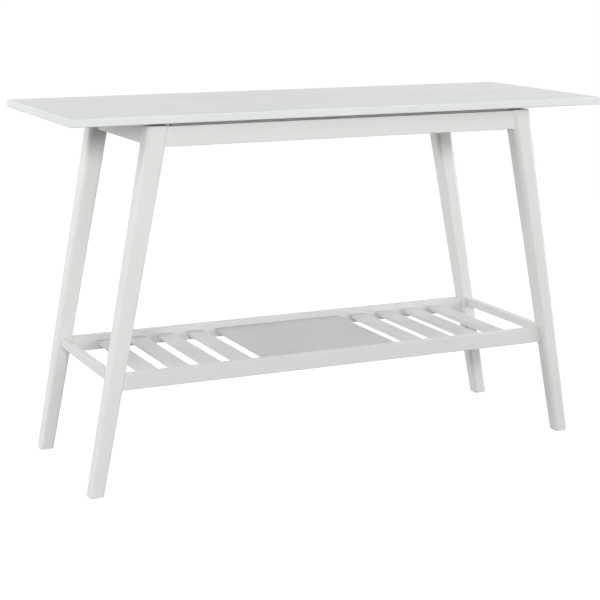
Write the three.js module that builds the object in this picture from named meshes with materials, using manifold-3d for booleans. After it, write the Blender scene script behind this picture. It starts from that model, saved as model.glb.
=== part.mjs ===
// Console table with four splayed, tapered legs, a floating top and a slatted shelf.
// Units are millimetres, +Z is up and the long side lies along X. The origin is on the floor,
// under the middle of the top. The front is -Y and the left is -X.
import * as THREE from "three";
import { mergeVertices } from "three/addons/utils/BufferGeometryUtils.js";
import Module from "manifold-3d";

const wasm = await Module();
wasm.setup();

// ---------------------------------------------------------------------------------------------
// Driving dimensions
// ---------------------------------------------------------------------------------------------

const TABLE_LENGTH = 1200;
const TABLE_WIDTH = 450;
const TABLE_HEIGHT = 762;

const GAP = 0.3; // left between pieces that touch
const EASE = 1.2; // small rounding on every sawn edge
const TOP_EASE = 2;
const BATTEN_EASE = 0.8;

const TOP_THICKNESS = 16;
const TOP_CORNER_RADIUS = 3;
const FLOAT_GAP = 7; // shadow gap between the top and the legs
const UNDERSIDE_Z = TABLE_HEIGHT - TOP_THICKNESS;

const GLIDE_RADIUS = 9;
const GLIDE_THICKNESS = 3;
const GLIDE_PROUD = 1; // how far the glide stands below the foot
const GLIDE_NAIL_RADIUS = 1.5;
const GLIDE_NAIL_LENGTH = 12;

const LEG_TOP_Z = UNDERSIDE_Z - FLOAT_GAP;
const LEG_FOOT_Z = GLIDE_PROUD;
const LEG_TOP_WIDTH = 43.5;
const LEG_FOOT_WIDTH = 31;
const LEG_CORNER_RADIUS = 10.5; // at the top; it tapers with the leg
const LEG_SPLAY_DEG = 10.9; // outwards along the length only
const LEG_FOOT_X = 555;
const LEG_Y = 176;

const APRON_THICKNESS = 18;
const APRON_BELOW_LEG_TOP = 1.5;
const APRON_COPE = 4; // how far a long apron wraps onto the rounded corners of the legs
const APRON_BOTTOM_Z = 698;
const APRON_TOP_Z = LEG_TOP_Z - APRON_BELOW_LEG_TOP;
const LONG_APRON_SETBACK = 3.5; // behind the legs' front faces
const END_APRON_X = 415;

const TENON_THICKNESS = 8;
const TENON_LENGTH = 10;
const TENON_SHOULDER = 5; // above and below the tenon
const TENON_OVERLAP = 4; // how far the tenon runs back into its own piece
const APRON_TENON_OFFSET = 2.5; // towards the outer face, clear of the leg bolt

const RAIL_THICKNESS = 18;
const RAIL_BOTTOM_Z = 214;
const RAIL_TOP_Z = 247;
const RAIL_Y = 172;

const STRETCHER_WIDTH = 16;
const STRETCHER_HEIGHT = 18;
const STRETCHER_SHOULDER = 4;

const SLAT_THICKNESS = 9;
const SLAT_TOP_Z = 235;
const SLAT_WIDTH = 39;
const SLAT_PITCH = 70;
const SLATS_PER_SIDE = 4;
const PANEL_WIDTH = 310;
const SLAT_TONGUE_THICKNESS = 6; // the tongue at each end, housed in the rail
const SLAT_TONGUE_SHOULDER = 2; // at each side of the tongue
const SLAT_HOUSING_DEPTH = 9;

const BATTEN_WIDTH = 40;
const BATTEN_BOTTOM_Z = 722;
const BATTEN_SPACING = 260;
const BATTEN_TONGUE = 10; // into the long aprons
const BATTEN_TONGUE_DROP = 2; // below the apron's top edge
const BATTEN_SHOULDER_Y = 160; // half length of the full-height part

const SPACER_WIDTH = 10; // strip on an apron that carries the edge of the top and closes the shadow gap

const TOP_SCREW_Y = 110;
const TOP_SCREW_SHANK_RADIUS = 2;
const TOP_SCREW_HEAD_RADIUS = 4;
const TOP_SCREW_HEAD_HEIGHT = 2.4;
const TOP_SCREW_COUNTERBORE = 6;
const TOP_SCREW_POINT = 3; // length of the tapered point
const TOP_SCREW_BITE = 10; // depth in the top

const BLOCK_HEIGHT = 32;
const BLOCK_FACE = 28; // length glued to each apron
const BLOCK_LEG_CLEARANCE = 33; // from the leg's axis to the block, along the diagonal

const BOLT_RADIUS = 3;
const BOLT_BITE = 14; // depth in the leg
const BOLT_TAIL = 4; // past the nut
const NUT_ACROSS_FLATS = 10;
const NUT_THICKNESS = 5;

const DOWEL_RADIUS = 4;
const DOWEL_LENGTH = 24;
const DOWEL_IN_LEG = 10;
const DOWEL_EDGE_DISTANCE = 8; // from the rail's top and bottom edge

// ---------------------------------------------------------------------------------------------
// Places that follow from them
// ---------------------------------------------------------------------------------------------

const splaySlope = Math.tan(THREE.MathUtils.degToRad(LEG_SPLAY_DEG));

// Middle of a right-hand leg's section at height z, and the section's width there.
const legX = (z) => LEG_FOOT_X - splaySlope * z;
const legWidth = (z) =>
  THREE.MathUtils.mapLinear(z, LEG_FOOT_Z, LEG_TOP_Z, LEG_FOOT_WIDTH, LEG_TOP_WIDTH);

// Where a piece that meets the leg ends, on the leg's side towards the middle of the table.
const legInnerX = (z) => legX(z) - legWidth(z) / 2 - GAP;
const legInnerY = (z) => LEG_Y - legWidth(z) / 2 - GAP;

const apronMidZ = (APRON_BOTTOM_Z + APRON_TOP_Z) / 2;
const longApronY = LEG_Y + legWidth(apronMidZ) / 2 - LONG_APRON_SETBACK - APRON_THICKNESS / 2;
const stretcherMidZ = RAIL_TOP_Z - STRETCHER_HEIGHT / 2;
const stretcherX = legX(stretcherMidZ);
const slatMidZ = SLAT_TOP_Z - SLAT_THICKNESS / 2;
const railInnerY = RAIL_Y - RAIL_THICKNESS / 2;
const slatLength = 2 * (railInnerY - GAP);
const tongueLength = 2 * (railInnerY + SLAT_HOUSING_DEPTH - GAP);
const longApronInnerY = longApronY - APRON_THICKNESS / 2;
const battenTopZ = UNDERSIDE_Z - GAP;
const battenTongueZ = APRON_TOP_Z - BATTEN_TONGUE_DROP;
const battenXs = [-BATTEN_SPACING, 0, BATTEN_SPACING];
const screwHeadZ = BATTEN_BOTTOM_Z + TOP_SCREW_COUNTERBORE;
const screwTipZ = UNDERSIDE_Z + TOP_SCREW_BITE;

// ---------------------------------------------------------------------------------------------
// Shapes and solids
// ---------------------------------------------------------------------------------------------

const X = new THREE.Vector3(1, 0, 0);
const Y = new THREE.Vector3(0, 1, 0);
const Z = new THREE.Vector3(0, 0, 1);

function outline(points) {
  return new THREE.Shape(points.map(([u, v]) => new THREE.Vector2(u, v)));
}

function roundedRectangle(width, height, radius) {
  const [u, v] = [width / 2 - radius, height / 2 - radius];
  const shape = new THREE.Shape();
  shape.absarc(u, v, radius, 0, Math.PI / 2);
  shape.absarc(-u, v, radius, Math.PI / 2, Math.PI);
  shape.absarc(-u, -v, radius, Math.PI, 1.5 * Math.PI);
  shape.absarc(u, -v, radius, 1.5 * Math.PI, 2 * Math.PI);
  return shape;
}

// An outline extruded to a thickness about its own plane, with both faces' edges eased.
function board(shape, thickness, ease = EASE, curveSegments = 3) {
  const geometry = new THREE.ExtrudeGeometry(shape, {
    depth: thickness - 2 * ease,
    bevelThickness: ease,
    bevelSize: ease,
    bevelOffset: -ease,
    bevelSegments: 2,
    curveSegments,
  });
  return geometry.translate(0, 0, ease - thickness / 2);
}

// A constant section along a length, centred on its own middle.
function bar(section, length, curveSegments = 3) {
  const options = { depth: length, bevelEnabled: false, curveSegments };
  return new THREE.ExtrudeGeometry(section, options).translate(0, 0, -length / 2);
}

// Turn a drawn (u, v) plane with its extrusion w: u, v become the two axes named.
const basisXZ = new THREE.Matrix4().makeBasis(X, Z, Y.clone().negate());
const basisYZ = new THREE.Matrix4().makeBasis(Y, Z, X);
const drawnInXZ = (geometry) => geometry.applyMatrix4(basisXZ);
const drawnInYZ = (geometry) => geometry.applyMatrix4(basisYZ);

function boxAt(sizeX, sizeY, sizeZ, x, y, z) {
  return new THREE.BoxGeometry(sizeX, sizeY, sizeZ).translate(x, y, z);
}

// A round rod from one point to another.
function rod(radius, from, to, sides = 16) {
  const along = to.clone().sub(from);
  const geometry = new THREE.CylinderGeometry(radius, radius, along.length(), sides);
  const turn = new THREE.Quaternion().setFromUnitVectors(Y, along.normalize());
  const middle = from.clone().add(to).multiplyScalar(0.5);
  return geometry.applyQuaternion(turn).translate(middle.x, middle.y, middle.z);
}

// A profile of [radius, z] pairs turned about Z.
function turned(profile, sides = 24) {
  const points = profile.map(([radius, z]) => new THREE.Vector2(radius, z));
  return new THREE.LatheGeometry(points, sides).rotateX(Math.PI / 2);
}

function toManifold(geometry) {
  const bare = geometry.index ? geometry.toNonIndexed() : geometry.clone();
  bare.deleteAttribute("normal");
  bare.deleteAttribute("uv");
  const merged = mergeVertices(bare, 1e-4);
  return new wasm.Manifold(
    new wasm.Mesh({
      numProp: 3,
      vertProperties: merged.attributes.position.array,
      triVerts: new Uint32Array(merged.index.array),
    }),
  );
}

function toGeometry(manifold) {
  const mesh = manifold.getMesh();
  const geometry = new THREE.BufferGeometry();
  geometry.setAttribute("position", new THREE.BufferAttribute(mesh.vertProperties, 3));
  geometry.setIndex(new THREE.BufferAttribute(mesh.triVerts, 1));
  const faceted = geometry.toNonIndexed();
  faceted.computeVertexNormals();
  return faceted;
}

// The geometry with others joined to it, and then others cut from it.
function carve(geometry, { join = [], cut = [] }) {
  let solid = toManifold(geometry);
  for (const piece of join) {
    solid = solid.add(toManifold(piece));
  }
  for (const tool of cut) {
    solid = solid.subtract(toManifold(tool));
  }
  return toGeometry(solid);
}

// ---------------------------------------------------------------------------------------------
// Materials
// ---------------------------------------------------------------------------------------------

const finish = (color, roughness, metalness = 0) => () =>
  new THREE.MeshStandardMaterial({ color, roughness, metalness });

const paint = finish("#e4e5e2", 0.45);
const bareWood = finish("#d2b48c", 0.7);
const steel = finish("#9a9c9e", 0.35, 1);
const plastic = finish("#c9c9c6", 0.6);

// ---------------------------------------------------------------------------------------------
// Pieces that repeat at the four corners, modelled at the back right one
// ---------------------------------------------------------------------------------------------

// The leg bolt lies level on the diagonal through the leg's axis, towards the middle of the table.
const boltZ = apronMidZ;
const boltDirection = new THREE.Vector3(-1, -1, 0).normalize();
const boltOrigin = new THREE.Vector3(legX(boltZ), LEG_Y, boltZ);
const onBolt = (distance) => boltOrigin.clone().addScaledVector(boltDirection, distance);
const cornerFlat = legWidth(boltZ) / 2 - LEG_CORNER_RADIUS;
const boltStart = Math.SQRT2 * cornerFlat + LEG_CORNER_RADIUS - BOLT_BITE;
const blockNear = BLOCK_LEG_CLEARANCE;
const blockFar = blockNear + BLOCK_FACE / Math.SQRT2;
const boltEnd = blockFar + GAP + NUT_THICKNESS + BOLT_TAIL;

const dowelZs = [RAIL_BOTTOM_Z + DOWEL_EDGE_DISTANCE, RAIL_TOP_Z - DOWEL_EDGE_DISTANCE];

function dowelRod(z, clearance, side = 1) {
  const legEnd = legInnerX(z) + DOWEL_IN_LEG;
  const from = new THREE.Vector3(side * (legEnd + clearance), RAIL_Y, z);
  const to = new THREE.Vector3(side * (legEnd - DOWEL_LENGTH - clearance), RAIL_Y, z);
  return rod(DOWEL_RADIUS + clearance, from, to, 20);
}

function tenonBox(x, z, height, clearance) {
  const length = TENON_LENGTH + TENON_OVERLAP;
  const middleY = legInnerY(z) + TENON_LENGTH - length / 2;
  const grow = 2 * clearance;
  return boxAt(TENON_THICKNESS + grow, length + grow, height + grow, x, middleY, z);
}

const apronTenonX = END_APRON_X + APRON_TENON_OFFSET;
const apronTenonHeight = APRON_TOP_Z - APRON_BOTTOM_Z - 2 * TENON_SHOULDER;
const apronTenon = (clearance) => tenonBox(apronTenonX, apronMidZ, apronTenonHeight, clearance);
const stretcherTenonHeight = STRETCHER_HEIGHT - 2 * STRETCHER_SHOULDER;
const stretcherTenon = (clearance) =>
  tenonBox(stretcherX, stretcherMidZ, stretcherTenonHeight, clearance);

// The leg's splayed and tapered shaft. A clearance grows it into what is cut from a neighbour.
function legShaft(clearance, side = 1) {
  const width = LEG_TOP_WIDTH + 2 * clearance;
  const section = roundedRectangle(width, width, LEG_CORNER_RADIUS + clearance);
  const length = LEG_TOP_Z - LEG_FOOT_Z;
  const shaft = board(section, length, EASE, 6).translate(0, 0, LEG_FOOT_Z + length / 2);
  const position = shaft.attributes.position;
  for (let i = 0; i < position.count; i += 1) {
    const z = position.getZ(i);
    const taper = legWidth(z) / LEG_TOP_WIDTH;
    position.setX(i, side * legX(z) + taper * position.getX(i));
    position.setY(i, LEG_Y + taper * position.getY(i));
  }
  return shaft;
}

function legGeometry() {
  const glideSeat = rod(
    GLIDE_RADIUS + GAP,
    new THREE.Vector3(LEG_FOOT_X, LEG_Y, -1),
    new THREE.Vector3(LEG_FOOT_X, LEG_Y, GLIDE_THICKNESS + GAP),
    24,
  );
  const nailHole = rod(
    GLIDE_NAIL_RADIUS + GAP,
    new THREE.Vector3(LEG_FOOT_X, LEG_Y, 0),
    new THREE.Vector3(LEG_FOOT_X, LEG_Y, GLIDE_THICKNESS + GLIDE_NAIL_LENGTH + GAP),
  );
  const boltHole = rod(BOLT_RADIUS + GAP, onBolt(boltStart - GAP), onBolt(blockNear));
  const dowelHoles = dowelZs.map((z) => dowelRod(z, GAP));
  const mortises = [apronTenon(GAP), stretcherTenon(GAP)];
  return carve(legShaft(0), { cut: [glideSeat, nailHole, boltHole, ...dowelHoles, ...mortises] });
}

function glideGeometry() {
  const disc = GLIDE_THICKNESS;
  const tip = disc + GLIDE_NAIL_LENGTH;
  const profile = [
    [0, 0],
    [GLIDE_RADIUS - 1, 0],
    [GLIDE_RADIUS, 1],
    [GLIDE_RADIUS, disc],
    [GLIDE_NAIL_RADIUS, disc],
    [GLIDE_NAIL_RADIUS, tip - 2],
    [0, tip],
  ];
  return turned(profile).translate(LEG_FOOT_X, LEG_Y, 0);
}

// A block across the corner, with a face glued to each apron and a hole for the leg bolt.
function cornerBlockGeometry() {
  const endFaceX = END_APRON_X - APRON_THICKNESS / 2 - GAP;
  const longFaceY = longApronInnerY - GAP;
  const axisSum = legX(boltZ) + LEG_Y;
  const nearSum = axisSum - Math.SQRT2 * blockNear;
  const farSum = axisSum - Math.SQRT2 * blockFar;
  const plan = outline([
    [endFaceX, nearSum - endFaceX],
    [nearSum - longFaceY, longFaceY],
    [farSum - longFaceY, longFaceY],
    [endFaceX, farSum - endFaceX],
  ]);
  const block = board(plan, BLOCK_HEIGHT).translate(0, 0, boltZ);
  const hole = rod(BOLT_RADIUS + GAP, onBolt(blockNear - BOLT_RADIUS), onBolt(boltEnd));
  return carve(block, { cut: [hole] });
}

const legBoltGeometry = () => rod(BOLT_RADIUS, onBolt(boltStart), onBolt(boltEnd));

function legNutGeometry() {
  const corner = NUT_ACROSS_FLATS / 2 / Math.cos(Math.PI / 6);
  const hexagon = outline(
    Array.from({ length: 6 }, (_, i) => {
      const angle = (i * Math.PI) / 3;
      return [corner * Math.cos(angle), corner * Math.sin(angle)];
    }),
  );
  hexagon.holes.push(new THREE.Path().absarc(0, 0, BOLT_RADIUS + GAP, 0, 2 * Math.PI, true));
  const place = onBolt(blockFar + GAP + NUT_THICKNESS / 2);
  const turn = new THREE.Quaternion().setFromUnitVectors(Z, boltDirection);
  return bar(hexagon, NUT_THICKNESS, 8).applyQuaternion(turn).translate(place.x, place.y, place.z);
}

// ---------------------------------------------------------------------------------------------
// Aprons, rails and stretchers
// ---------------------------------------------------------------------------------------------

// A long member between a left and a right leg, its ends cut to the legs' slope.
function longMember(bottomZ, topZ, thickness, y, extra = 0) {
  const endX = (z) => legInnerX(z) + extra;
  const shape = outline([
    [-endX(bottomZ), bottomZ],
    [endX(bottomZ), bottomZ],
    [endX(topZ), topZ],
    [-endX(topZ), topZ],
  ]);
  return drawnInXZ(board(shape, thickness)).translate(0, y, 0);
}

// The apron's ends are coped to the legs, and its inner face has open seats for the battens.
function longApronGeometry() {
  const [bottom, top] = [APRON_BOTTOM_Z, APRON_TOP_Z];
  const apron = longMember(bottom, top, APRON_THICKNESS, longApronY, APRON_COPE);
  const seatWidth = BATTEN_WIDTH + 2 * GAP;
  const seatDepth = BATTEN_TONGUE + GAP;
  const seatHeight = 2 * (top - BATTEN_BOTTOM_Z + GAP);
  const seats = battenXs.map((x) =>
    boxAt(seatWidth, 2 * seatDepth, seatHeight, x, longApronInnerY, top),
  );
  return carve(apron, { cut: [legShaft(GAP), legShaft(GAP, -1), ...seats] });
}

// The tenon at the back end of a piece that lies along Y, and the same at its front end.
function tenonPair(tenon, z) {
  return [tenon, tenon.clone().rotateX(Math.PI).translate(0, 0, 2 * z)];
}

function endApronGeometry() {
  const shape = outline([
    [-legInnerY(APRON_BOTTOM_Z), APRON_BOTTOM_Z],
    [legInnerY(APRON_BOTTOM_Z), APRON_BOTTOM_Z],
    [legInnerY(APRON_TOP_Z), APRON_TOP_Z],
    [-legInnerY(APRON_TOP_Z), APRON_TOP_Z],
  ]);
  const apron = drawnInYZ(board(shape, APRON_THICKNESS)).translate(END_APRON_X, 0, 0);
  return carve(apron, { join: tenonPair(apronTenon(0), apronMidZ) });
}

const slatXs = Array.from({ length: 2 * SLATS_PER_SIDE }, (_, i) => {
  const side = i < SLATS_PER_SIDE ? -1 : 1;
  const fromPanel = side < 0 ? SLATS_PER_SIDE - i : i - SLATS_PER_SIDE + 1;
  return side * (PANEL_WIDTH / 2 - SLAT_WIDTH / 2 + fromPanel * SLAT_PITCH);
});

// A slat's two tongues, as one bar through the slat. A clearance grows it into its housings.
function slatTongue(width, clearance) {
  const tongueWidth = width - 2 * SLAT_TONGUE_SHOULDER;
  return boxAt(
    tongueWidth + 2 * clearance,
    tongueLength + 2 * clearance,
    SLAT_TONGUE_THICKNESS + 2 * clearance,
    0,
    0,
    0,
  );
}

function longRailGeometry() {
  const rail = longMember(RAIL_BOTTOM_Z, RAIL_TOP_Z, RAIL_THICKNESS, RAIL_Y);
  const housing = (x, width) => slatTongue(width, GAP).translate(x, 0, slatMidZ);
  const housings = [housing(0, PANEL_WIDTH), ...slatXs.map((x) => housing(x, SLAT_WIDTH))];
  const dowelHoles = dowelZs.flatMap((z) => [dowelRod(z, GAP), dowelRod(z, GAP, -1)]);
  return carve(rail, { cut: [...housings, ...dowelHoles] });
}

function stretcherGeometry() {
  const length = 2 * legInnerY(stretcherMidZ);
  const section = roundedRectangle(STRETCHER_WIDTH, STRETCHER_HEIGHT, EASE);
  const body = drawnInXZ(bar(section, length)).translate(stretcherX, 0, stretcherMidZ);
  return carve(body, { join: tenonPair(stretcherTenon(0), stretcherMidZ) });
}

function slatGeometry(width) {
  const section = roundedRectangle(width, SLAT_THICKNESS, EASE);
  return carve(drawnInXZ(bar(section, slatLength)), { join: [slatTongue(width, 0)] });
}

// ---------------------------------------------------------------------------------------------
// Top, battens and their screws
// ---------------------------------------------------------------------------------------------

// Countersunk screw pointing up, at the origin's x and y. A clearance grows it into its hole.
function topScrewProfile(clearance) {
  const shank = TOP_SCREW_SHANK_RADIUS + clearance;
  const head = TOP_SCREW_HEAD_RADIUS + clearance;
  return [
    [0, screwHeadZ - clearance],
    [head, screwHeadZ - clearance],
    [shank, screwHeadZ + TOP_SCREW_HEAD_HEIGHT],
    [shank, screwTipZ - TOP_SCREW_POINT],
    [0, screwTipZ + clearance],
  ];
}

const screwPlaces = battenXs.flatMap((x) => [-TOP_SCREW_Y, TOP_SCREW_Y].map((y) => [x, y]));

function topGeometry() {
  const plan = roundedRectangle(TABLE_LENGTH, TABLE_WIDTH, TOP_CORNER_RADIUS);
  const slab = board(plan, TOP_THICKNESS, TOP_EASE, 4);
  const top = slab.translate(0, 0, UNDERSIDE_Z + TOP_THICKNESS / 2);
  const pilotHoles = screwPlaces.map(([x, y]) => turned(topScrewProfile(GAP)).translate(x, y, 0));
  return carve(top, { cut: pilotHoles });
}

function battenGeometry() {
  const tongueY = longApronInnerY + BATTEN_TONGUE;
  const profile = outline([
    [-tongueY, BATTEN_BOTTOM_Z],
    [tongueY, BATTEN_BOTTOM_Z],
    [tongueY, battenTongueZ],
    [BATTEN_SHOULDER_Y, battenTongueZ],
    [BATTEN_SHOULDER_Y, battenTopZ],
    [-BATTEN_SHOULDER_Y, battenTopZ],
    [-BATTEN_SHOULDER_Y, battenTongueZ],
    [-tongueY, battenTongueZ],
  ]);
  const batten = drawnInYZ(board(profile, BATTEN_WIDTH, BATTEN_EASE));
  const holes = [-TOP_SCREW_Y, TOP_SCREW_Y].flatMap((y) => {
    const below = new THREE.Vector3(0, y, BATTEN_BOTTOM_Z - TOP_SCREW_COUNTERBORE);
    const headSeat = new THREE.Vector3(0, y, screwHeadZ - GAP);
    const counterbore = rod(TOP_SCREW_HEAD_RADIUS + 2 * GAP, below, headSeat, 24);
    return [turned(topScrewProfile(GAP)).translate(0, y, 0), counterbore];
  });
  return carve(batten, { cut: holes });
}

// A strip that stands on an apron, flush with its inner face, up to the underside of the top.
function spacerGeometry(length) {
  const height = battenTopZ - APRON_TOP_Z - GAP;
  const section = roundedRectangle(SPACER_WIDTH, height, BATTEN_EASE);
  const lengthAlongX = bar(section, length).rotateY(Math.PI / 2).rotateX(Math.PI / 2);
  return lengthAlongX.translate(0, 0, battenTopZ - height / 2);
}

// ---------------------------------------------------------------------------------------------
// The table
// ---------------------------------------------------------------------------------------------

const table = new THREE.Group();
table.name = "console_table";

function place(name, geometry, material) {
  const mesh = new THREE.Mesh(geometry, material);
  mesh.name = name;
  table.add(mesh);
  return mesh;
}

const SIDES = { right: 1, left: -1 };
const FACES = { back: 1, front: -1 };

// One mesh at each corner, mirrored from the back right one.
function placeAtCorners(baseName, geometry, material) {
  for (const [face, signY] of Object.entries(FACES)) {
    for (const [side, signX] of Object.entries(SIDES)) {
      place(`${baseName}_${face}_${side}`, geometry, material()).scale.set(signX, signY, 1);
    }
  }
}

place("table_top", topGeometry(), paint());

placeAtCorners("leg", legGeometry(), paint);
placeAtCorners("foot_glide", glideGeometry(), plastic);
placeAtCorners("corner_block", cornerBlockGeometry(), bareWood);
placeAtCorners("leg_bolt", legBoltGeometry(), steel);
placeAtCorners("leg_nut", legNutGeometry(), steel);
placeAtCorners("rail_dowel_lower", dowelRod(dowelZs[0], 0), bareWood);
placeAtCorners("rail_dowel_upper", dowelRod(dowelZs[1], 0), bareWood);

for (const [face, signY] of Object.entries(FACES)) {
  place(`apron_${face}`, longApronGeometry(), paint()).scale.set(1, signY, 1);
  place(`shelf_rail_${face}`, longRailGeometry(), paint()).scale.set(1, signY, 1);
}

const longSpacer = spacerGeometry(2 * (legInnerX(APRON_TOP_Z) - SPACER_WIDTH / 2));
const endSpacer = spacerGeometry(2 * legInnerY(LEG_TOP_Z)).rotateZ(Math.PI / 2);
const spacerY = longApronInnerY + SPACER_WIDTH / 2;
const spacerX = END_APRON_X - APRON_THICKNESS / 2 + SPACER_WIDTH / 2;
for (const [face, signY] of Object.entries(FACES)) {
  place(`top_spacer_${face}`, longSpacer, paint()).position.setY(signY * spacerY);
}
for (const [side, signX] of Object.entries(SIDES)) {
  place(`top_spacer_${side}`, endSpacer, paint()).position.setX(signX * spacerX);
}

for (const [side, signX] of Object.entries(SIDES)) {
  place(`apron_${side}`, endApronGeometry(), paint()).scale.set(signX, 1, 1);
  place(`shelf_stretcher_${side}`, stretcherGeometry(), paint()).scale.set(signX, 1, 1);
}

slatXs.forEach((x, i) => {
  place(`shelf_slat_${i + 1}`, slatGeometry(SLAT_WIDTH), paint()).position.set(x, 0, slatMidZ);
});
place("shelf_panel", slatGeometry(PANEL_WIDTH), paint()).position.set(0, 0, slatMidZ);

const battenNames = ["left", "middle", "right"];
battenXs.forEach((x, i) => {
  place(`top_batten_${battenNames[i]}`, battenGeometry(), bareWood()).position.setX(x);
});
screwPlaces.forEach(([x, y], i) => {
  place(`top_screw_${i + 1}`, turned(topScrewProfile(0)), steel()).position.set(x, y, 0);
});

export default table;
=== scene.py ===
import math
import random

import bmesh
import bpy
from mathutils import Matrix, Vector


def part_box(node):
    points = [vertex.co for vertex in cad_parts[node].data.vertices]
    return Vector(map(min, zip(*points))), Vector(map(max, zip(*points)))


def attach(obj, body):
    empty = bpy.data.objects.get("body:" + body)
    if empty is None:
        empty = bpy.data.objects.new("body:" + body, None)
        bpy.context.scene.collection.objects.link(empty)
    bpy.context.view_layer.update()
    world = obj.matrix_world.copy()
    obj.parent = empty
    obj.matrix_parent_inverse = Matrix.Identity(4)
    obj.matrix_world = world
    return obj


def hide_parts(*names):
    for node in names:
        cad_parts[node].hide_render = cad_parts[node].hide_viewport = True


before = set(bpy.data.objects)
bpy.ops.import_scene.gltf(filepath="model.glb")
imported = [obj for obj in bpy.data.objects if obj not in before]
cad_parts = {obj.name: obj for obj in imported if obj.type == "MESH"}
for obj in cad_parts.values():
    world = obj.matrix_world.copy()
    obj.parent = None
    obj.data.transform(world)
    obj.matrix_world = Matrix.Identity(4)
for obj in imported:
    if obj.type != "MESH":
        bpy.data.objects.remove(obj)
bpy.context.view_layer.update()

# White console table: rounded, splayed legs, a floating top and a slatted shelf.
# Metres, +Z up, the front is -Y and the left is -X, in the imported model's own frame.

# ---------------------------------------------------------------------------------------------
# Driving sizes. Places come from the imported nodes' boxes.
# ---------------------------------------------------------------------------------------------

X, Y, Z = Vector((1, 0, 0)), Vector((0, 1, 0)), Vector((0, 0, 1))
SIDES = {"right": 1, "left": -1}
FACES = {"back": 1, "front": -1}
CORNERS = [(f"{face}_{side}", sx, sy) for face, sy in FACES.items() for side, sx in SIDES.items()]

FIT = 0.0001  # left between pieces that touch
EASE = 0.0012  # rounding on sawn edges
EASE_STEPS = 4
CRISP_EASE = 0.0005  # on pieces that aren't seen
OVERSHOOT = 0.005  # how far a cutter runs on outside the wood

TOP_CORNER = 0.003  # radius of the top's corners in plan
TOP_CORNER_STEPS = 8
TOP_EASE = 0.002
TOP_EASE_STEPS = 6

LEG_TOP_WIDTH = 0.0435
LEG_FOOT_WIDTH = 0.031
LEG_CORNER = 0.0105  # radius at the top; it tapers with the leg
LEG_ARC_STEPS = 10
LEG_RINGS = 16

GLIDE_DISC = 0.003  # thickness of a foot glide's disc
GLIDE_LIP = 0.0012
GLIDE_LIP_STEPS = 5
GLIDE_NAIL_RADIUS = 0.0015
GLIDE_NAIL_POINT = 0.002  # length of the point
GLIDE_NAIL_TIP = 0.00015  # radius at the very end

TENON_THICKNESS = 0.008
TENON_BACK = 0.004  # how far a tenon's block runs back into its own piece
APRON_TENON_SHOULDER = 0.005
APRON_TENON_OFFSET = 0.0025
STRETCHER_TENON_SHOULDER = 0.004
MEMBER_RUN_ON = 0.006  # members run on into the legs before the legs are cut from them

SLAT_TONGUE_THICKNESS = 0.006
SLAT_TONGUE_SHOULDER = 0.002

BATTENS = ("left", "middle", "right")
BATTEN_SHOULDER_Y = 0.160
BATTEN_TONGUE_DROP = 0.002  # below the apron's top edge

SCREW_COUNT = 6
SCREW_COUNTERBORE = 0.0046
SCREW_PITCH = 0.0018
SCREW_THREAD_DEPTH = 0.0006
SCREW_HEAD_RADIUS = 0.004
SCREW_HEAD_RIM = 0.0003
SCREW_HEAD_HEIGHT = 0.0024
SCREW_SHANK_RADIUS = 0.002
SCREW_NECK = 0.004  # bare length under the head
SCREW_POINT = 0.003  # length of the point
SCREW_TIP = 0.0001  # radius at the very end
RECESS_LENGTH = 0.0044
RECESS_WIDTH = 0.0009
RECESS_DEPTH = 0.0015

BLOCK_FACE = 0.028  # length of a corner block's glued faces
BOLT_RADIUS = 0.003
BOLT_CHAMFER = 0.0006
BOLT_WOOD_PITCH = 0.0025
BOLT_WOOD_THREAD = 0.014
BOLT_WOOD_DEPTH = 0.00055
BOLT_MACHINE_PITCH = 0.001
BOLT_MACHINE_THREAD = 0.015
BOLT_MACHINE_DEPTH = 0.0004
NUT_ACROSS_FLATS = 0.010
NUT_THICKNESS = 0.005
NUT_BORE_CHAMFER = 0.0004
NUT_FACE_SHARE = 0.95  # radius of a nut's flat face, as a share of half its width
NUT_CHAMFER_ANGLE = math.radians(30)
HEXAGON_SIDE_ANGLE = math.pi / 3
DOWEL_FLUTES = 14
DOWEL_FLUTE_DEPTH = 0.0003
DOWEL_FLUTE_POWER = 4  # the higher, the narrower the flutes
DOWEL_CHAMFER = 0.001

# Points round a section, and rings for each turn of a thread.
HOLE_SIDES = 32
SCREW_HOLE_SIDES = 40
GLIDE_SIDES = 48
THREADED_SIDES = 24
NUT_SIDES = 72
DOWEL_SIDES = 8 * DOWEL_FLUTES
COARSE_THREAD_RINGS = 10
FINE_THREAD_RINGS = 8

# Edges sharper than this many degrees aren't smoothed over.
SHARP_DEGREES = 38
SHARP_ON_THREADS = 50
SHARP_ON_NUTS = 25

# ---------------------------------------------------------------------------------------------
# Materials. They read each piece's "grain_place": how far a point lies along its grain, across
# it and out of its broad face, with another offset for each piece.
# ---------------------------------------------------------------------------------------------

GRAIN_SPREAD = 9.0  # the most that a piece's grain is offset each way
LACQUER_EDGE_TINT = (0.93, 0.93, 0.88)  # of the shade, where the lacquer is thin
LACQUER_EDGE_SHARE = 0.16
LACQUER_EDGE_POLISH = 0.06
BEVEL_SAMPLES = 4


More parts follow.
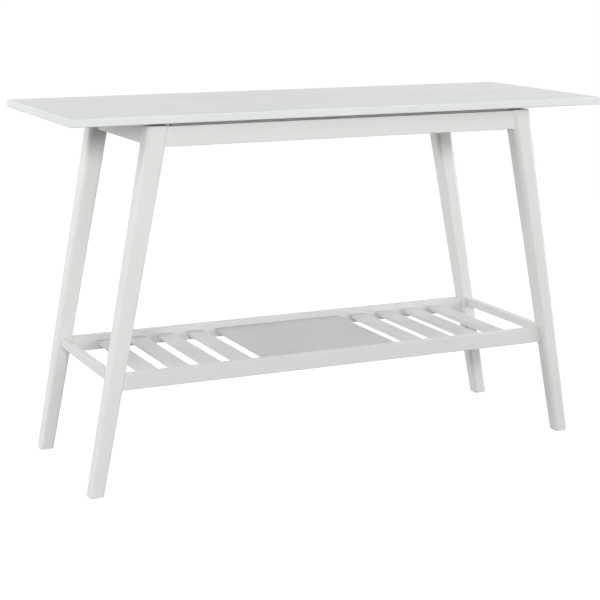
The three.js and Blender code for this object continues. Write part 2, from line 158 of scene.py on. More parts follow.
class Nodes:
    """The node tree of a material or a world, with short calls to add nodes and join them."""

    def __init__(self, owner):
        owner.use_nodes = True
        self.owner = owner
        self.tree = owner.node_tree

    def feed(self, node, values):
        """Links each value that is a socket to the node's input, and sets the others."""
        for key, value in values.items():
            if isinstance(value, bpy.types.NodeSocket):
                self.tree.links.new(value, node.inputs[key])
            else:
                node.inputs[key].default_value = value

    def node(self, kind, values=None, **settings):
        node = self.tree.nodes.new("ShaderNode" + kind)
        for key, value in settings.items():
            setattr(node, key, value)
        self.feed(node, values or {})
        return node

    def surface(self, **values):
        """Sets the surface shader's sockets, named with _ for each space."""
        named = {key.replace("_", " "): value for key, value in values.items()}
        self.feed(self.tree.nodes["Principled BSDF"], named)
        return self.owner

    def math(self, operation, a, b=0.0):
        return self.node("Math", {0: a, 1: b}, operation=operation).outputs[0]

    def remap(self, value, low, high, new_low=0.0, new_high=1.0):
        """Stretches the range from low to high to the new range, and clamps it there."""
        values = {0: value, 1: low, 2: high, 3: new_low, 4: new_high}
        return self.node("MapRange", values).outputs[0]

    def mix_color(self, share, a, b):
        node = self.node("Mix", data_type="RGBA")
        self.feed(node, {0: share, 6: a, 7: b})
        return node.outputs[2]

    def grain_place(self):
        return self.node("Attribute", attribute_name="grain_place").outputs["Vector"]

    def noise(self, place, along, across, detail=3.0, roughness=0.5, distortion=0.0):
        """Noise with so many cells a metre along the grain and across it."""
        stretched = self.node("Mapping", {"Vector": place, "Scale": (along, across, across)})
        values = {
            "Vector": stretched.outputs[0],
            "Scale": 1.0,
            "Detail": detail,
            "Roughness": roughness,
            "Distortion": distortion,
        }
        return self.node("TexNoise", values).outputs["Fac"]

    def edges(self, radius, low, high):
        """1 on the piece's edges and corners, 0 on its flats."""
        bevel = self.node("Bevel", {"Radius": radius}, samples=BEVEL_SAMPLES).outputs[0]
        normal = self.node("NewGeometry").outputs["Normal"]
        same = self.node("VectorMath", {0: bevel, 1: normal}, operation="DOT_PRODUCT")
        return self.remap(self.math("SUBTRACT", 1.0, same.outputs["Value"]), low, high)

    def bump(self, height, distance, strength):
        values = {"Height": height, "Distance": distance, "Strength": strength}
        return self.node("Bump", values).outputs[0]


def lacquer(name, color, shade, grain_share, roughness):
    """Sprayed satin lacquer: a trace of the grain and of orange peel, thinner on the edges."""
    s = Nodes(bpy.data.materials.new(name))
    place = s.grain_place()
    cloud = s.remap(s.noise(place, along=5, across=9, detail=2.0), 0.3, 0.7)
    streak = s.noise(place, along=7, across=260, detail=4.0, distortion=0.3)
    streak = s.remap(streak, 0.35, 0.65)
    peel = s.noise(place, along=420, across=420, detail=1.0)
    edge = s.edges(radius=0.0022, low=0.02, high=0.25)
    body = s.mix_color(cloud, color, shade)
    grained = s.mix_color(s.math("MULTIPLY", streak, grain_share), body, shade)
    thin = (*(tone * tint for tone, tint in zip(shade, LACQUER_EDGE_TINT)), 1)
    worn = s.mix_color(s.math("MULTIPLY", edge, LACQUER_EDGE_SHARE), grained, thin)
    dull = s.remap(cloud, 0, 1, roughness - 0.03, roughness + 0.04)
    relief = s.math("ADD", s.math("MULTIPLY", streak, 0.6), s.math("MULTIPLY", peel, 0.4))
    return s.surface(
        Base_Color=worn,
        Roughness=s.math("SUBTRACT", dull, s.math("MULTIPLY", edge, LACQUER_EDGE_POLISH)),
        Normal=s.bump(relief, distance=0.00004, strength=0.5),
        Specular_IOR_Level=0.5,
    )


def timber(name, light, dark, fleck, roughness):
    """Sawn, unpainted wood: long figure, fine pores and short ray flecks."""
    s = Nodes(bpy.data.materials.new(name))
    place = s.grain_place()
    figure = s.noise(place, along=3, across=70, detail=5.0, distortion=0.8)
    figure = s.remap(figure, 0.3, 0.7)
    pores = s.remap(s.noise(place, along=25, across=900, detail=2.0), 0.52, 0.72)
    rays = s.remap(s.noise(place, along=160, across=1300, detail=1.0), 0.6, 0.7)
    body = s.mix_color(figure, light, dark)
    pored = s.mix_color(s.math("MULTIPLY", pores, 0.35), body, fleck)
    flecked = s.mix_color(s.math("MULTIPLY", rays, 0.4), pored, fleck)
    edge = s.edges(radius=0.0015, low=0.02, high=0.3)
    return s.surface(
        Base_Color=s.mix_color(s.math("MULTIPLY", edge, 0.25), flecked, light),
        Roughness=s.remap(figure, 0, 1, roughness - 0.06, roughness + 0.06),
        Normal=s.bump(s.math("ADD", figure, pores), distance=0.00008, strength=0.6),
    )


def zinc():
    """Bright zinc plate, faintly clouded, with fine drawing marks."""
    s = Nodes(bpy.data.materials.new("zinc_plate"))
    place = s.grain_place()
    cloud = s.remap(s.noise(place, along=180, across=180), 0.3, 0.7)
    marks = s.noise(place, along=60, across=2600, detail=2.0)
    tone = s.mix_color(cloud, (0.66, 0.67, 0.69, 1), (0.56, 0.57, 0.56, 1))
    edge = s.edges(radius=0.0008, low=0.02, high=0.3)
    return s.surface(
        Base_Color=s.mix_color(edge, tone, (0.78, 0.78, 0.77, 1)),
        Metallic=1.0,
        Roughness=s.remap(cloud, 0, 1, 0.26, 0.42),
        Normal=s.bump(marks, distance=0.00001, strength=0.5),
    )


def moulded_plastic():
    """Off-white plastic, finely textured and scuffed where it slides."""
    s = Nodes(bpy.data.materials.new("moulded_plastic"))
    place = s.grain_place()
    grit = s.noise(place, along=1500, across=1500, detail=2.0)
    scuff = s.remap(s.noise(place, along=120, across=900), 0.5, 0.75)
    return s.surface(
        Base_Color=s.mix_color(scuff, (0.74, 0.74, 0.72, 1), (0.62, 0.61, 0.58, 1)),
        Roughness=s.remap(scuff, 0, 1, 0.48, 0.66),
        Normal=s.bump(grit, distance=0.00003, strength=0.6),
    )


# By the slot that they belong to, with two more lacquers for the shelf's slats and its panel.
FINISHES = {
    # The top's lacquer is tinted cool and the frame's warm, on one neutral white paint: painted
    # cool light from above and painted warm light from the front.
    "top_paint": lacquer(
        "top_lacquer", (0.72, 0.735, 0.74, 1), (0.69, 0.705, 0.71, 1), 0.10, 0.44),
    "frame_paint": lacquer(
        "frame_lacquer", (0.72, 0.72, 0.705, 1), (0.685, 0.685, 0.67, 1), 0.22, 0.46),
    # The shelf's lacquers are darker than the frame's, the slats' more and the panel's most:
    # painted shade from the top above the shelf.
    "shelf_paint": lacquer(
        "shelf_lacquer", (0.69, 0.69, 0.68, 1), (0.66, 0.66, 0.65, 1), 0.22, 0.46),
    "slat": lacquer(
        "slat_lacquer", (0.635, 0.635, 0.63, 1), (0.61, 0.61, 0.605, 1), 0.22, 0.46),
    "panel": lacquer(
        "panel_lacquer", (0.54, 0.55, 0.55, 1), (0.52, 0.53, 0.53, 1), 0.10, 0.46),
    "bare_wood": timber(
        "beech", (0.66, 0.49, 0.33, 1), (0.55, 0.38, 0.24, 1), (0.36, 0.22, 0.13, 1), 0.66),
    "zinc_steel": zinc(),
    "glide_plastic": moulded_plastic(),
}

# ---------------------------------------------------------------------------------------------
# Mesh building
# ---------------------------------------------------------------------------------------------


def mesh_object(name, bm):
    """The bmesh as an object of the scene, with its faces turned outwards."""
    bmesh.ops.recalc_face_normals(bm, faces=bm.faces)
    mesh = bpy.data.meshes.new(name)
    bm.to_mesh(mesh)
    bm.free()
    made = bpy.data.objects.new(name, mesh)
    bpy.context.scene.collection.objects.link(made)
    return made


def prism(name, outline, run, ease=0.0):
    """A flat outline of points swept along a vector, with every edge rounded."""
    bm = bmesh.new()
    base = bm.faces.new([bm.verts.new(point) for point in outline])
    swept = bmesh.ops.extrude_face_region(bm, geom=[base])
    moved = [item for item in swept["geom"] if isinstance(item, bmesh.types.BMVert)]
    bmesh.ops.translate(bm, verts=moved, vec=run)
    if ease:
        bmesh.ops.bevel(bm, geom=bm.edges[:], offset=ease, segments=EASE_STEPS,
                        profile=0.5, affect="EDGES", clamp_overlap=True)
    return mesh_object(name, bm)


def block(name, low, high, ease=0.0):
    """A rectangular block between two corners."""
    corners = [(low[0], low[1]), (high[0], low[1]), (high[0], high[1]), (low[0], high[1])]
    outline = [Vector((x, y, low[2])) for x, y in corners]
    return prism(name, outline, Z * (high[2] - low[2]), ease)


def loft(name, rings, closed=False):
    """Quads between rings of equal length. Open ends are capped; a closed loft joins up."""
    bm = bmesh.new()
    loops = [[bm.verts.new(point) for point in ring] for ring in rings]
    count = len(rings[0])
    pairs = list(zip(loops, loops[1:]))
    if closed:
        pairs.append((loops[-1], loops[0]))
    else:
        bm.faces.new(loops[0])
        bm.faces.new(loops[-1])
    for one, other in pairs:
        for i in range(count):
            j = (i + 1) % count
            bm.faces.new((one[i], one[j], other[j], other[i]))
    return mesh_object(name, bm)


def rounded_square(half_x, half_y, radius, steps):
    """Points round a rectangle with round corners, as (u, v)."""
    points = []
    for quarter, (su, sv) in enumerate([(1, 1), (-1, 1), (-1, -1), (1, -1)]):
        for i in range(steps + 1):
            angle = (quarter + i / steps) * math.pi / 2
            points.append((
                su * (half_x - radius) + radius * math.cos(angle),
                sv * (half_y - radius) + radius * math.sin(angle),
            ))
    return points


def quarter_round(ease, steps):
    """(how far in, how far from the end) pairs over a rounded edge, from the end inwards."""
    angles = [i / steps * math.pi / 2 for i in range(steps + 1)]
    return [(ease * (1 - math.sin(a)), ease * (1 - math.cos(a))) for a in angles]


def turned(name, start, along, profile, sides, section=None):
    """Rings of (distance, radius) about an axis. section(angle, distance) adds to the radius."""
    along = along.normalized()
    across = along.orthogonal().normalized()
    other = along.cross(across)
    rings = []
    for distance, radius in profile:
        ring = []
        for i in range(sides):
            angle = 2 * math.pi * i / sides
            out = across * math.cos(angle) + other * math.sin(angle)
            extra = section(angle, distance) if section else 0.0
            ring.append(start + along * distance + out * (radius + extra))
        rings.append(ring)
    return loft(name, rings)


def thread(pitch, depth, start, stop):
    """How far a screw thread cuts in at an angle and a distance, fading out at both ends."""
    def cut_in(angle, distance):
        if not start <= distance <= stop:
            return 0.0
        turn = (distance / pitch - angle / (2 * math.pi)) % 1.0
        fade = min(1.0, (distance - start) / pitch, (stop - distance) / pitch)
        return -depth * fade * (1 - abs(2 * turn - 1))
    return cut_in


def combine(piece, tools, operation="DIFFERENCE"):
    """The tools cut from the piece, or joined to it. The tools are used up."""
    for tool in tools:
        modifier = piece.modifiers.new("combine", "BOOLEAN")
        modifier.operation = operation
        modifier.solver = "EXACT"
        modifier.object = tool
    shaped = piece.evaluated_get(bpy.context.evaluated_depsgraph_get())
    mesh = bpy.data.meshes.new_from_object(shaped)
    piece.modifiers.clear()
    piece.data = mesh
    for tool in tools:
        bpy.data.objects.remove(tool)
    return piece


def store_grain_place(piece, along, face):
    """Stores where each point lies in the wood, as the materials read it."""
    along = along.normalized()
    across = face.cross(along).normalized()
    axes = Matrix((along, across, along.cross(across)))
    chance = random.Random(piece.name)
    offset = Vector([chance.uniform(-GRAIN_SPREAD, GRAIN_SPREAD) for _ in range(3)])
    places = [axes @ vertex.co + offset for vertex in piece.data.vertices]
    stored = piece.data.attributes.new("grain_place", "FLOAT_VECTOR", "POINT")
    stored.data.foreach_set("vector", [number for place in places for number in place])


def finish_piece(piece, slot, along, face, node, sharp_degrees=SHARP_DEGREES, finish=None):
    """Gives a piece its shading and its finish, which is the slot's unless named, puts it under
    the root body and hides its node.
    """
    store_grain_place(piece, along, face)
    mesh = piece.data
    mesh.materials.clear()
    mesh.materials.append(FINISHES[finish or slot])
    mesh.polygons.foreach_set("use_smooth", [True] * len(mesh.polygons))
    mesh.set_sharp_from_angle(angle=math.radians(sharp_degrees))
    weighted = piece.modifiers.new("even_shading", "WEIGHTED_NORMAL")
    weighted.keep_sharp = True
    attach(piece, "root")
    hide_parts(node)


# ---------------------------------------------------------------------------------------------
# Legs and glides
# ---------------------------------------------------------------------------------------------

# The legs are worked out for the back right one, where x and y are positive, and mirrored.
leg_low, leg_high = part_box("leg_back_right")
leg_y = (leg_low.y + leg_high.y) / 2
leg_foot_x = leg_high.x - LEG_FOOT_WIDTH / 2
leg_top_x = leg_low.x + LEG_TOP_WIDTH / 2
leg_height = leg_high.z - leg_low.z


def up_leg(foot_value, top_value, z):
    """A measure at a height, from what it is at the foot and at the top."""
    return foot_value + (top_value - foot_value) * (z - leg_low.z) / leg_height


def leg_x(z):
    return up_leg(leg_foot_x, leg_top_x, z)


def leg_width(z):
    return up_leg(LEG_FOOT_WIDTH, LEG_TOP_WIDTH, z)


def leg_inner_x(z):
    return leg_x(z) - leg_width(z) / 2


def leg_inner_y(z):
    return leg_y - leg_width(z) / 2


def leg_ring(z, inset, sx, sy):
    """The outline of a leg's section at a height, drawn in by an inset."""
    half = leg_width(z) / 2 - inset
    radius = LEG_CORNER * leg_width(z) / LEG_TOP_WIDTH - inset
    outline = rounded_square(half, half, radius, LEG_ARC_STEPS)
    return [Vector((sx * (leg_x(z) + u), sy * (leg_y + v), z)) for u, v in outline]


def circle_like(ring, centre, radius, z):
    """A circle with one point for each of the ring's, in the same directions."""
    points = []
    for point in ring:
        out = Vector((point.x - centre.x, point.y - centre.y, 0)).normalized()
        points.append(Vector((centre.x, centre.y, z)) + out * radius)
    return points


def leg_shell(name, sx, sy):
    """The shaft with rounded ends, and a round seat for the glide in its foot."""
    seat_low, seat_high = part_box("foot_glide_back_right")
    seat_radius = (seat_high.x - seat_low.x) / 2 + FIT
    centre = (seat_low + seat_high) / 2
    centre = Vector((sx * centre.x, sy * centre.y, 0))
    foot = leg_ring(leg_low.z, EASE, sx, sy)
    rings = [circle_like(foot, centre, seat_radius, z) for z in (GLIDE_DISC + FIT, leg_low.z)]
    for inset, rise in quarter_round(EASE, EASE_STEPS):
        rings.append(leg_ring(leg_low.z + rise, inset, sx, sy))
    shaft_low, shaft_high = leg_low.z + EASE, leg_high.z - EASE
    for i in range(1, LEG_RINGS):
        rings.append(leg_ring(shaft_low + (shaft_high - shaft_low) * i / LEG_RINGS, 0, sx, sy))
    for inset, drop in reversed(quarter_round(EASE, EASE_STEPS)):
        rings.append(leg_ring(leg_high.z - drop, inset, sx, sy))
    return loft(name, rings)


def leg_cutters(sides, faces):
    """The legs' outsides, grown by the fit, to cut from what meets them."""
    heights = (leg_low.z, leg_high.z)
    return [loft("leg_cutter", [leg_ring(z, -FIT, sx, sy) for z in heights])
            for sx in sides for sy in faces]


def mirror_corner(point, sx, sy):
    """A point of the back right corner, moved to another corner."""
    return Vector((sx * point[0], sy * point[1], point[2]))


def bolt_line(sx, sy):
    """Where a hanger bolt starts in the leg, and its direction and length."""
    low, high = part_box("leg_bolt_back_right")
    end = BOLT_RADIUS / math.sqrt(2)
    height = (low.z + high.z) / 2
    outer = mirror_corner((high.x - end, high.y - end, height), sx, sy)
    inner = mirror_corner((low.x + end, low.y + end, height), sx, sy)
    return outer, (inner - outer).normalized(), (inner - outer).length


def rod_cutter(start, along, length, radius):
    """A plain rod, to cut a round hole."""
    return turned("rod_cutter", start, along, [(0, radius), (length, radius)], HOLE_SIDES)


def dowel_line(corner, level, sx):
    """Where a rail dowel starts in the leg, and its length and radius."""
    low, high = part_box(f"rail_dowel_{level}_{corner}")
    start = Vector((high.x if sx > 0 else low.x, (low.y + high.y) / 2, (low.z + high.z) / 2))
    return start, high.x - low.x, (high.z - low.z) / 2


def dowel_cutters(corner, sx):
    tools = []
    for level in ("lower", "upper"):
        start, length, radius = dowel_line(corner, level, sx)
        tools.append(rod_cutter(start + X * sx * FIT, -X * sx, length + 2 * FIT, radius + FIT))
    return tools


def tenon(node, height_shoulder, sy, grow=0.0, offset=0.0):
    """The block of a tenon at one end of a piece that lies along Y between two legs."""
    low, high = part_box(node)
    sx = math.copysign(1, low.x)
    z_low, z_high = low.z + height_shoulder, high.z - height_shoulder
    shoulder = leg_inner_y((low.z + high.z) / 2)
    middle_x = (low.x + high.x) / 2 + sx * offset
    y_ends = sorted((sy * (shoulder - TENON_BACK), sy * (high.y + grow)))
    low_corner = (middle_x - TENON_THICKNESS / 2 - grow, y_ends[0], z_low - grow)
    high_corner = (middle_x + TENON_THICKNESS / 2 + grow, y_ends[1], z_high + grow)
    return block("tenon", low_corner, high_corner)


def apron_tenon(side, sy, grow=0.0):
    return tenon(f"apron_{side}", APRON_TENON_SHOULDER, sy, grow, APRON_TENON_OFFSET)


def stretcher_tenon(side, sy, grow=0.0):
    return tenon(f"shelf_stretcher_{side}", STRETCHER_TENON_SHOULDER, sy, grow)


def make_legs():
    for corner, sx, sy in CORNERS:
        side = corner.split("_")[1]
        start, along, length = bolt_line(sx, sy)
        tools = [rod_cutter(start - along * FIT, along, length, BOLT_RADIUS + FIT)]
        tools += dowel_cutters(corner, sx)
        tools += [apron_tenon(side, sy, FIT), stretcher_tenon(side, sy, FIT)]
        leg = combine(leg_shell(f"fine_leg_{corner}", sx, sy), tools)
        slope = Vector((sx * (leg_top_x - leg_foot_x), 0, leg_height))
        finish_piece(leg, "frame_paint", slope, Y * sy, f"leg_{corner}")


def make_glides():
    """A plastic disc with a rounded lip, on a nail."""
    for corner, sx, sy in CORNERS:
        node = f"foot_glide_{corner}"
        low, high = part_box(node)
        radius, height = (high.x - low.x) / 2, high.z - low.z
        foot = Vector(((low.x + high.x) / 2, (low.y + high.y) / 2, low.z))
        lip = [(rise, radius - inset)
               for inset, rise in quarter_round(GLIDE_LIP, GLIDE_LIP_STEPS)]
        nail = [(GLIDE_DISC, GLIDE_NAIL_RADIUS), (height - GLIDE_NAIL_POINT, GLIDE_NAIL_RADIUS),
                (height, GLIDE_NAIL_TIP)]
        profile = [*lip, (GLIDE_DISC, radius), *nail]
        glide = turned(f"fine_{node}", foot, Z, profile, GLIDE_SIDES)
        finish_piece(glide, "glide_plastic", X, Z, node)


# ---------------------------------------------------------------------------------------------
# Aprons, rails and stretchers
# ---------------------------------------------------------------------------------------------


def long_member(node):
    """A member between a left and a right leg, run on into them."""
    low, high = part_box(node)
    bottom_x = leg_inner_x(low.z) + MEMBER_RUN_ON
    top_x = leg_inner_x(high.z) + MEMBER_RUN_ON
    outline = [Vector((x, low.y, z)) for x, z in (
        (-bottom_x, low.z), (bottom_x, low.z), (top_x, high.z), (-top_x, high.z))]
    return prism(f"fine_{node}", outline, Y * (high.y - low.y), EASE)


def make_long_aprons():
    for face, sy in FACES.items():
        node = f"apron_{face}"
        apron_low, apron_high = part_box(node)
        inner_y = sy * min(abs(apron_low.y), abs(apron_high.y))
        tools = leg_cutters(SIDES.values(), [sy])
        for batten in BATTENS:
            low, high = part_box(f"top_batten_{batten}")
            y_ends = sorted((inner_y - sy * OVERSHOOT, sy * (high.y + FIT)))
            seat_low = (low.x - FIT, y_ends[0], low.z - FIT)
            tools.append(block("seat", seat_low, (high.x + FIT, y_ends[1], high.z + OVERSHOOT)))
        finish_piece(combine(long_member(node), tools), "frame_paint", X, Y * sy, node)


def make_end_member(node, slot, tenons):
    """A member between a front and a back leg, its shoulders cut to the round legs."""
    low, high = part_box(node)
    sx = math.copysign(1, low.x)
    run_on = leg_inner_y(low.z) + MEMBER_RUN_ON
    body = block(f"fine_{node}", (low.x, -run_on, low.z), (high.x, run_on, high.z), EASE)
    combine(body, leg_cutters([sx], FACES.values()))
    finish_piece(combine(body, tenons, "UNION"), slot, Y, X * sx, node)


def make_end_members():
    for side in SIDES:
        apron_tenons = [apron_tenon(side, sy) for sy in FACES.values()]
        make_end_member(f"apron_{side}", "frame_paint", apron_tenons)
        stretcher_tenons = [stretcher_tenon(side, sy) for sy in FACES.values()]
        make_end_member(f"shelf_stretcher_{side}", "shelf_paint", stretcher_tenons)


slat_nodes = sorted(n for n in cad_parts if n.startswith("shelf_slat_")) + ["shelf_panel"]


def slat_tongue(node, grow=0.0):
    """The bar through a slat whose two ends are its tongues."""
    low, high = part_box(node)
    middle = (low.z + high.z) / 2
    half = SLAT_TONGUE_THICKNESS / 2 + grow
    side = SLAT_TONGUE_SHOULDER - grow
    return block("tongue", (low.x + side, low.y - grow, middle - half),
                 (high.x - side, high.y + grow, middle + half))


def make_rails():
    for face, sy in FACES.items():
        node = f"shelf_rail_{face}"
        tools = leg_cutters(SIDES.values(), [sy])
        tools += [slat_tongue(slat, FIT) for slat in slat_nodes]
        for side, sx in SIDES.items():
            tools += dowel_cutters(f"{face}_{side}", sx)
        finish_piece(combine(long_member(node), tools), "shelf_paint", X, Y * sy, node)


def make_slats():
    shoulder_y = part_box("shelf_rail_back")[0].y - FIT
    for node in slat_nodes:
        low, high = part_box(node)
        body_low, body_high = (low.x, -shoulder_y, low.z), (high.x, shoulder_y, high.z)
        body = block(f"fine_{node}", body_low, body_high, EASE)
        # The slats and the panel take their darker lacquers, which paint in the shade under the
        # top.
        finish = "panel" if node == "shelf_panel" else "slat"
        slat = combine(body, [slat_tongue(node)], "UNION")
        finish_piece(slat, "shelf_paint", Y, Z, node, finish=finish)


# ---------------------------------------------------------------------------------------------
# Top, spacers, battens and corner blocks
# ---------------------------------------------------------------------------------------------

screw_boxes = [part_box(f"top_screw_{i + 1}") for i in range(SCREW_COUNT)]


def make_top():
    low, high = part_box("table_top")
    eased = quarter_round(TOP_EASE, TOP_EASE_STEPS)
    levels = [(inset, low.z + rise) for inset, rise in eased]
    levels += [(inset, high.z - drop) for inset, drop in reversed(eased)]
    rings = []
    for inset, z in levels:
        half_x, half_y = high.x - inset, high.y - inset
        outline = rounded_square(half_x, half_y, TOP_CORNER - inset, TOP_CORNER_STEPS)
        rings.append([Vector((u, v, z)) for u, v in outline])
    pilot_holes = []
    for screw_low, screw_high in screw_boxes:
        middle = (screw_low + screw_high) / 2
        start = Vector((middle.x, middle.y, low.z - OVERSHOOT))
        depth = screw_high.z - start.z
        pilot_holes.append(rod_cutter(start, Z, depth, SCREW_SHANK_RADIUS + FIT))
    top = combine(loft("fine_table_top", rings), pilot_holes)
    finish_piece(top, "top_paint", X, Z, "table_top")


def make_spacers():
    for name, along in (("front", X), ("back", X), ("left", Y), ("right", Y)):
        node = f"top_spacer_{name}"
        spacer = block(f"fine_{node}", *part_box(node), CRISP_EASE)
        finish_piece(spacer, "frame_paint", along, Z, node)


def screw_hole(screw_low, screw_high, under_z):
    """A counterbore up to the screw's head, its countersink and the hole for its shank."""
    middle = (screw_low + screw_high) / 2
    start = Vector((middle.x, middle.y, under_z - OVERSHOOT))
    head = screw_low.z - start.z - FIT
    neck = head + SCREW_HEAD_HEIGHT
    shank = SCREW_SHANK_RADIUS + FIT
    profile = [(0, SCREW_COUNTERBORE), (head, SCREW_COUNTERBORE), (neck, shank),
               (screw_high.z - start.z, shank)]
    return turned("screw_hole", start, Z, profile, SCREW_HOLE_SIDES)


def make_battens():
    tongue_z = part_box("apron_back")[1].z - BATTEN_TONGUE_DROP
    for name in BATTENS:
        node = f"top_batten_{name}"
        low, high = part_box(node)
        profile = [
            (low.y, low.z), (high.y, low.z), (high.y, tongue_z),
            (BATTEN_SHOULDER_Y, tongue_z), (BATTEN_SHOULDER_Y, high.z),
            (-BATTEN_SHOULDER_Y, high.z), (-BATTEN_SHOULDER_Y, tongue_z), (low.y, tongue_z),
        ]
        outline = [Vector((low.x, y, z)) for y, z in profile]
        batten = prism(f"fine_{node}", outline, X * (high.x - low.x), CRISP_EASE)
        holes = [screw_hole(*box, low.z) for box in screw_boxes if low.x < box[0].x < high.x]
        finish_piece(combine(batten, holes), "bare_wood", Y, Z, node)


def make_corner_blocks():
    low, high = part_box("corner_block_back_right")
    plan = [(high.x, low.y + BLOCK_FACE), (low.x + BLOCK_FACE, high.y), (low.x, high.y),
            (high.x, low.y)]
    for corner, sx, sy in CORNERS:
        node = f"corner_block_{corner}"
        outline = [mirror_corner((x, y, low.z), sx, sy) for x, y in plan]
        piece = prism(f"fine_{node}", outline, Z * (high.z - low.z), 2 * CRISP_EASE)
        start, along, length = bolt_line(sx, sy)
        hole = rod_cutter(start, along, length, BOLT_RADIUS + FIT)
        finish_piece(combine(piece, [hole]), "bare_wood", Vector((sx, -sy, 0)), Z, node)


# ---------------------------------------------------------------------------------------------
# Fasteners
# ---------------------------------------------------------------------------------------------


def thread_stations(start, stop, pitch, radius, per_turn):
    """Rings for a thread, as (distance, radius) pairs."""
    count = max(2, round((stop - start) / pitch * per_turn))
    return [(start + (stop - start) * i / count, radius) for i in range(count + 1)]


def make_bolts():
    """Hanger bolts: a coarse thread in the leg, a bare waist and a machine thread."""
    for corner, sx, sy in CORNERS:
        node = f"leg_bolt_{corner}"
        start, along, length = bolt_line(sx, sy)
        tip = length - BOLT_CHAMFER
        machine_start = length - BOLT_MACHINE_THREAD
        wood = thread(BOLT_WOOD_PITCH, BOLT_WOOD_DEPTH, 0, BOLT_WOOD_THREAD)
        machine = thread(BOLT_MACHINE_PITCH, BOLT_MACHINE_DEPTH, machine_start, length)
        profile = [
            (0, BOLT_RADIUS - 2 * BOLT_CHAMFER),
            *thread_stations(BOLT_CHAMFER, BOLT_WOOD_THREAD, BOLT_WOOD_PITCH, BOLT_RADIUS,
                             COARSE_THREAD_RINGS),
            *thread_stations(machine_start, tip, BOLT_MACHINE_PITCH, BOLT_RADIUS,
                             FINE_THREAD_RINGS),
            (length, BOLT_RADIUS - BOLT_CHAMFER),
        ]

        def section(angle, distance):
            return wood(angle, distance) + machine(angle, distance)

        bolt = turned(f"fine_{node}", start, along, profile, THREADED_SIDES, section)
        finish_piece(bolt, "zinc_steel", along, Z, node, sharp_degrees=SHARP_ON_THREADS)


def nut_stations(angle):
    """(distance from the middle, radius) pairs round a hexagon nut's section at an angle."""
    half = NUT_THICKNESS / 2
    bore = BOLT_RADIUS + FIT
    face_radius = NUT_ACROSS_FLATS / 2 * NUT_FACE_SHARE
    from_flat = angle % HEXAGON_SIDE_ANGLE - HEXAGON_SIDE_ANGLE / 2
    hexagon = NUT_ACROSS_FLATS / 2 / math.cos(from_flat)
    chamfer = (hexagon - face_radius) * math.tan(NUT_CHAMFER_ANGLE)
    one_half = [
        (half - chamfer, hexagon), (half, face_radius), (half, bore + NUT_BORE_CHAMFER),
        (half - NUT_BORE_CHAMFER, bore),
    ]
    return one_half + [(-distance, radius) for distance, radius in reversed(one_half)]


def make_nuts():
    """Hexagon nuts with both faces chamfered at 30 degrees."""
    for corner, sx, sy in CORNERS:
        node = f"leg_nut_{corner}"
        low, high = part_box(node)
        along = bolt_line(sx, sy)[1]
        other = along.cross(Z)
        columns = []
        for i in range(NUT_SIDES):
            angle = 2 * math.pi * i / NUT_SIDES
            out = Z * math.cos(angle) + other * math.sin(angle)
            middle = (low + high) / 2
            columns.append([middle + along * d + out * r for d, r in nut_stations(angle)])
        nut = loft(f"fine_{node}", list(zip(*columns)), closed=True)
        finish_piece(nut, "zinc_steel", along, Z, node, sharp_degrees=SHARP_ON_NUTS)


def cross_recess(foot):
    """Two crossed slots, cut into a screw's head from below."""
    tools = []
    for size_x, size_y in ((RECESS_LENGTH, RECESS_WIDTH), (RECESS_WIDTH, RECESS_LENGTH)):
        half = Vector((size_x, size_y, 0)) / 2
        low = foot - half - Z * RECESS_DEPTH
        tools.append(block("recess", low, foot + half + Z * RECESS_DEPTH))
    return tools


def make_screws():
    """Countersunk wood screws that point up, with a cross recess in the head."""
    thread_start = SCREW_HEAD_HEIGHT + SCREW_NECK
    for i, (low, high) in enumerate(screw_boxes):
        node = f"top_screw_{i + 1}"
        foot = Vector(((low.x + high.x) / 2, (low.y + high.y) / 2, low.z))
        length = high.z - low.z
        point = length - SCREW_POINT
        profile = [
            (0, SCREW_HEAD_RADIUS - SCREW_HEAD_RIM),
            (SCREW_HEAD_RIM, SCREW_HEAD_RADIUS),
            (SCREW_HEAD_HEIGHT, SCREW_SHANK_RADIUS),
            *thread_stations(thread_start, point, SCREW_PITCH, SCREW_SHANK_RADIUS,
                             COARSE_THREAD_RINGS),
            (length, SCREW_TIP),
        ]
        cut_in = thread(SCREW_PITCH, SCREW_THREAD_DEPTH, thread_start, point)
        screw = turned(f"fine_{node}", foot, Z, profile, THREADED_SIDES, cut_in)
        finish_piece(combine(screw, cross_recess(foot)), "zinc_steel", Z, X, node)


def flute(angle, distance):
    """How far a dowel's flutes cut in at an angle. They run its whole length."""
    wave = 0.5 - 0.5 * math.cos(DOWEL_FLUTES * angle)
    return -DOWEL_FLUTE_DEPTH * wave ** DOWEL_FLUTE_POWER


def make_dowels():
    """Fluted beech dowels with chamfered ends."""
    for corner, sx, sy in CORNERS:
        for level in ("lower", "upper"):
            node = f"rail_dowel_{level}_{corner}"
            start, length, radius = dowel_line(corner, level, sx)
            profile = [(0, radius - DOWEL_CHAMFER), (DOWEL_CHAMFER, radius),
                       (length - DOWEL_CHAMFER, radius), (length, radius - DOWEL_CHAMFER)]
            dowel = turned(f"fine_{node}", start, -X * sx, profile, DOWEL_SIDES, flute)
            finish_piece(dowel, "bare_wood", X, Z, node)


# ---------------------------------------------------------------------------------------------
# Floor, light and camera
# ---------------------------------------------------------------------------------------------

FLOOR_HALF = 60.0
FLOOR_GLOW = 1.0  # the floor's own light; the rest of its tone is what falls on it
FLOOR_COLOR = (0.10, 0.10, 0.10, 1)
FLOOR_ROUGHNESS = 0.9

WORLD_SEEN = 1.1  # the background's strength
WORLD_GIVEN = 0.15  # the strength of its light
WORLD_IN_GLOSS = 0.7  # its strength in the table's own reflections

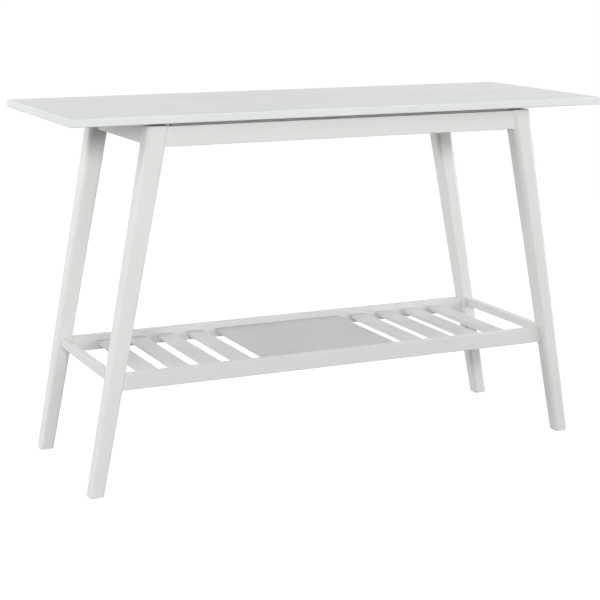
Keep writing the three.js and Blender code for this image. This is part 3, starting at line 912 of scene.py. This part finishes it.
# Softboxes round a point in the middle of the table: bearing from the front towards the right
# and height angle in degrees, distance, size and watts.
STUDIO_TARGET = Vector((0, 0, 0.45))
SOFTBOXES = {
    "key": (-25, 16, 3.6, (1.4, 0.5), 82),
    "front_right": (55, 20, 3.0, (1.6, 1.6), 40),
    "left": (-90, 20, 3.0, (1.6, 1.2), 17),
    "right": (90, 5, 3.0, (1.6, 1.2), 27),
    "back_left": (-135, 20, 3.0, (1.6, 1.6), 40),
    "back_right": (135, 20, 3.0, (1.6, 1.6), 16),
    "back": (180, 20, 3.0, (1.6, 1.6), 20),
    "top": (0, 90, 2.4, (3.0, 2.0), 14),
    "top_right": (90, 50, 3.0, (1.6, 1.6), 11),
    "low_left": (-100, -12, 3.0, (2.0, 0.8), 12),
    "bounce": (0, -90, 0.5, (3.0, 2.0), 3.4),
}

CAMERA_PLACE = Vector((-1.4692, -3.0814, 1.0708))
CAMERA_BEARING = -25.2  # degrees; it looks back along this bearing
CAMERA_HEIGHT = 12.43  # degrees; it looks down by this much
CAMERA_ROLL = math.radians(0.207)
CAMERA_LENS = 95.05  # millimetres, as is the sensor
CAMERA_SENSOR = 36.0
CAMERA_REACH = 200.0


def make_floor():
    """A pale floor that only the camera sees, and that is clear when seen from below."""
    half = FLOOR_HALF
    corners = [(-half, -half), (half, -half), (half, half), (-half, half)]
    bm = bmesh.new()
    bm.faces.new([bm.verts.new((x, y, 0)) for x, y in corners])
    floor = mesh_object("floor", bm)
    s = Nodes(bpy.data.materials.new("pale_floor"))
    s.surface(Base_Color=FLOOR_COLOR, Roughness=FLOOR_ROUGHNESS, Specular_IOR_Level=0.0,
              Emission_Color=(1, 1, 1, 1), Emission_Strength=FLOOR_GLOW)
    backface = s.node("NewGeometry").outputs["Backfacing"]
    clear = s.node("BsdfTransparent").outputs[0]
    lit = s.tree.nodes["Principled BSDF"].outputs[0]
    either = s.node("MixShader", {0: backface, 1: lit, 2: clear}).outputs[0]
    s.feed(s.tree.nodes["Material Output"], {"Surface": either})
    floor.data.materials.append(s.owner)
    floor.visible_diffuse = False
    floor.visible_glossy = False
    floor.visible_transmission = False
    floor.visible_shadow = False


def make_world():
    """White to the camera and in reflections, with a weak even light of its own."""
    s = Nodes(bpy.data.worlds.new("studio"))
    ray = s.node("LightPath").outputs
    given = s.remap(ray["Is Glossy Ray"], 0, 1, WORLD_GIVEN, WORLD_IN_GLOSS)
    strength = s.remap(ray["Is Camera Ray"], 0, 1, given, WORLD_SEEN)
    s.feed(s.tree.nodes["Background"], {"Color": (1, 1, 1, 1), "Strength": strength})
    bpy.context.scene.world = s.owner


def direction(bearing, height):
    """The direction from the table towards a bearing and a height angle, in degrees."""
    bearing, height = math.radians(bearing), math.radians(height)
    level = Vector((math.sin(bearing), -math.cos(bearing), 0))
    return level * math.cos(height) + Z * math.sin(height)


def make_softboxes():
    for name, (bearing, height, distance, size, power) in SOFTBOXES.items():
        data = bpy.data.lights.new(name, "AREA")
        data.shape = "RECTANGLE"
        data.size, data.size_y = size
        data.energy = power
        light = bpy.data.objects.new(name, data)
        towards = direction(bearing, height)
        light.location = STUDIO_TARGET + towards * distance
        light.rotation_euler = (-towards).to_track_quat("-Z", "Y").to_euler()
        light.visible_camera = False
        light.visible_glossy = False
        bpy.context.scene.collection.objects.link(light)


def make_camera():
    forward = -direction(CAMERA_BEARING, CAMERA_HEIGHT)
    level = direction(CAMERA_BEARING + 90, 0)
    up = level.cross(forward)
    right = level * math.cos(CAMERA_ROLL) + up * math.sin(CAMERA_ROLL)
    up = right.cross(forward)
    data = bpy.data.cameras.new("camera")
    data.lens = CAMERA_LENS
    data.sensor_width = CAMERA_SENSOR
    data.clip_end = CAMERA_REACH
    camera = bpy.data.objects.new("camera", data)
    axes = Matrix((right, up, -forward)).transposed().to_4x4()
    camera.matrix_world = Matrix.Translation(CAMERA_PLACE) @ axes
    bpy.context.scene.collection.objects.link(camera)
    bpy.context.scene.camera = camera


make_legs()
make_glides()
make_long_aprons()
make_end_members()
make_rails()
make_slats()
make_top()
make_spacers()
make_battens()
make_corner_blocks()
make_bolts()
make_nuts()
make_screws()
make_dowels()
make_floor()
make_world()
make_softboxes()
make_camera()
bpy.context.scene.view_settings.view_transform = "Standard"  # no film curve
